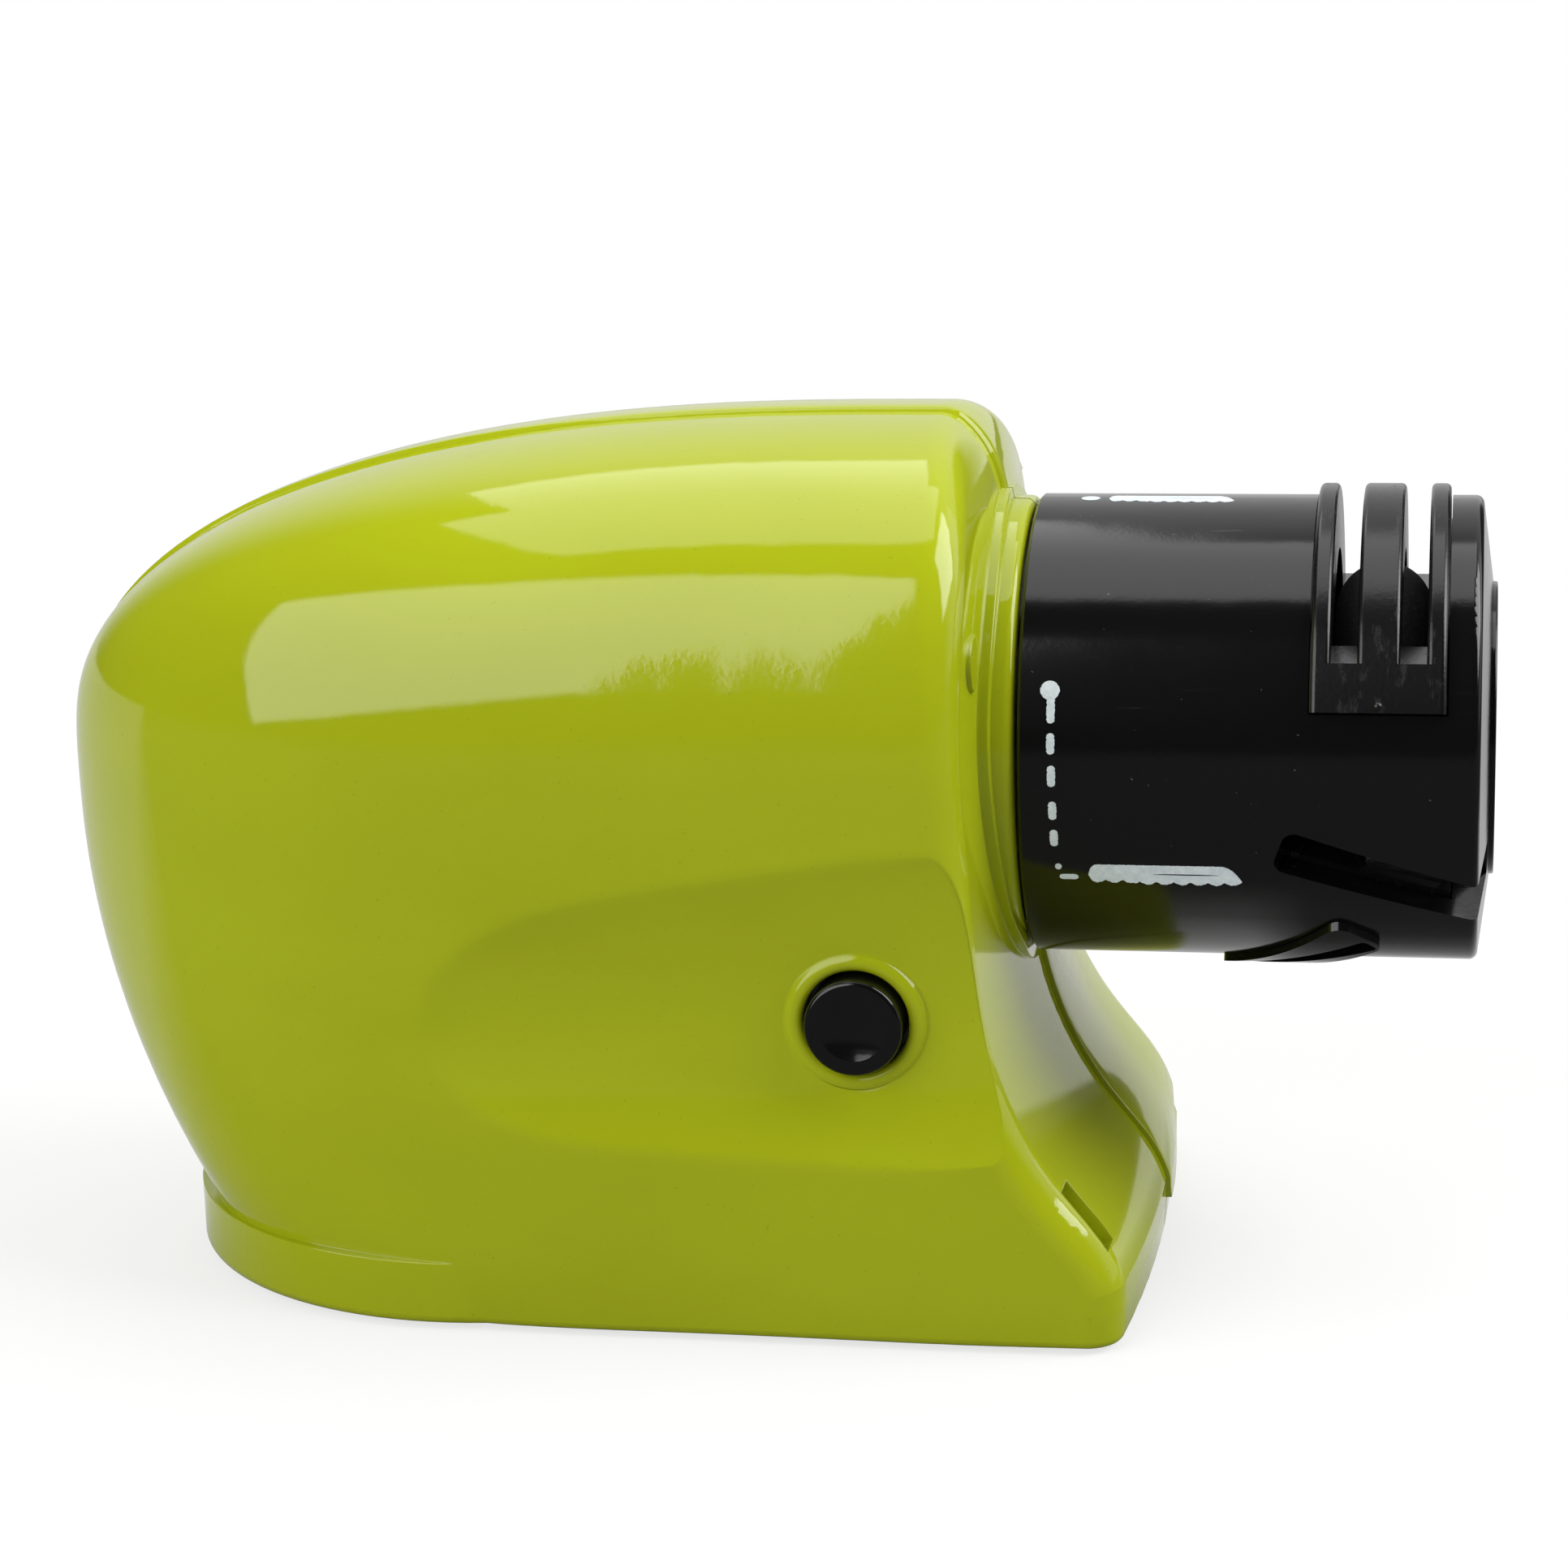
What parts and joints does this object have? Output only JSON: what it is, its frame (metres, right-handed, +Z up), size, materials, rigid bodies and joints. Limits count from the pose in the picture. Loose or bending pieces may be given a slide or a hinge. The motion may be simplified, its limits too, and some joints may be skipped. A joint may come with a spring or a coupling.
{
  "type": "knife sharpener",
  "caption": "Cordless electric knife sharpener with a moulded body, flat battery base, push switch and a turning head with slots for knives, scissors and screwdrivers over a motor-driven wheel.",
  "frame": {"origin": "on the surface it stands on, below the middle of the bounding box", "axes": "+X along the body towards the turning head, +Y away from the side with the push switch, +Z up"},
  "size_m": [0.135, 0.063, 0.08],
  "materials": {
    "shell_green": "gloss",
    "head_black": "gloss",
    "guide_black": "satin",
    "button_black": "gloss",
    "foot_rubber": "matte",
    "screw_steel": "satin",
    "strip_steel": "polished",
    "wheel_stone": "matte",
    "nut_brass": "satin",
    "hub_grey": "matte",
    "motor_steel": "satin",
    "magnet_dark": "matte",
    "armature_steel": "matte",
    "carrier_grey": "matte",
    "contact_steel": "satin",
    "cell_wrap": "gloss",
    "tray_grey": "matte",
    "switch_black": "matte",
    "white_plastic": "matte",
    "wire_black": "satin"
  },
  "bodies": {
    "body": {"housing_near": "shell_green", "housing_far": "shell_green", "housing_screws": "screw_steel", "feet": "foot_rubber", "motor_can": "motor_steel", "motor_magnets": "magnet_dark", "motor_end_bell": "hub_grey", "motor_terminals": "contact_steel", "motor_carrier": "carrier_grey", "carrier_screws": "screw_steel", "motor_screws": "screw_steel", "battery_cells": "cell_wrap", "contact_plates": "contact_steel", "battery_tray": "tray_grey", "button_spring": "screw_steel", "switch_body": "switch_black", "switch_tip": "white_plastic", "wires": "wire_black"},
    "head": {"head_tube": "head_black", "end_cap": "head_black", "end_disc": "head_black", "knife_guide": "guide_black", "scissor_guide": "guide_black", "scissor_strip": "strip_steel", "driver_guide": "head_black"},
    "rotor": {"grinding_wheel": "wheel_stone", "wheel_hub": "hub_grey", "wheel_nut": "nut_brass", "motor_shaft": "screw_steel", "armature": "armature_steel"},
    "button": {"power_button": "button_black"},
    "door": {"battery_door": "shell_green"}
  },
  "joints": [
    {"name": "head_turn", "type": "hinge", "parent": "body", "child": "head", "pos_m": [0.0454, 0, 0.0508], "axis": [-1, 0, 0], "range_deg": [0, 68]},
    {"name": "wheel_spin", "type": "hinge", "parent": "body", "child": "rotor", "pos_m": [0.0365, 0, 0.0508], "axis": [1, 0, 0], "continuous": true},
    {"name": "button_press", "type": "slide", "parent": "body", "child": "button", "axis": [0, 1, 0], "range_m": [0, 0.0016], "stiffness_N_per_m": 300, "springref_m": -0.001, "deforming": ["button_spring"]},
    {"name": "door_open", "type": "hinge", "parent": "body", "child": "door", "pos_m": [0.027, 0, 0.0005], "axis": [0, -1, 0], "range_deg": [0, 75]}
  ]
}
